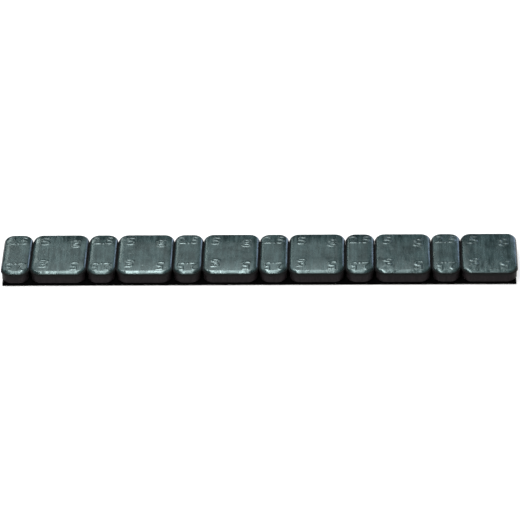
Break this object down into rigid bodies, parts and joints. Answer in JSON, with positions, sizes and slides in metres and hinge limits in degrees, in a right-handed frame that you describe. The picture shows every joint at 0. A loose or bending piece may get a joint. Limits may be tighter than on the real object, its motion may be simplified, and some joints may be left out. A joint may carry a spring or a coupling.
{
  "type": "wheel balance weight",
  "caption": "Strip of pillow-shaped pressed steel weights, small and large in turns, on a black foam adhesive tape that sticks to a wheel rim to balance it.",
  "frame": {"origin": "middle of the underside, on the surface that the strip lies on or sticks to", "axes": "+X along the strip towards the end with a large weight, +Y across it, +Z away from the adhesive"},
  "size_m": [0.1194, 0.0164, 0.0042],
  "materials": {
    "coated_steel": "semi-gloss dark grey-green coat on pressed steel",
    "black_foam": "matt black closed-cell foam with adhesive on both faces",
    "liner_film": "pale siliconised release film"
  },
  "bodies": {
    "root": {"small_weight_1": "coated_steel", "large_weight_1": "coated_steel", "small_weight_2": "coated_steel", "large_weight_2": "coated_steel", "small_weight_3": "coated_steel", "large_weight_3": "coated_steel", "small_weight_4": "coated_steel", "large_weight_4": "coated_steel", "small_weight_5": "coated_steel", "large_weight_5": "coated_steel", "small_weight_6": "coated_steel", "large_weight_6": "coated_steel", "foam_tape": "black_foam", "release_liner": "liner_film"}
  },
  "joints": []
}
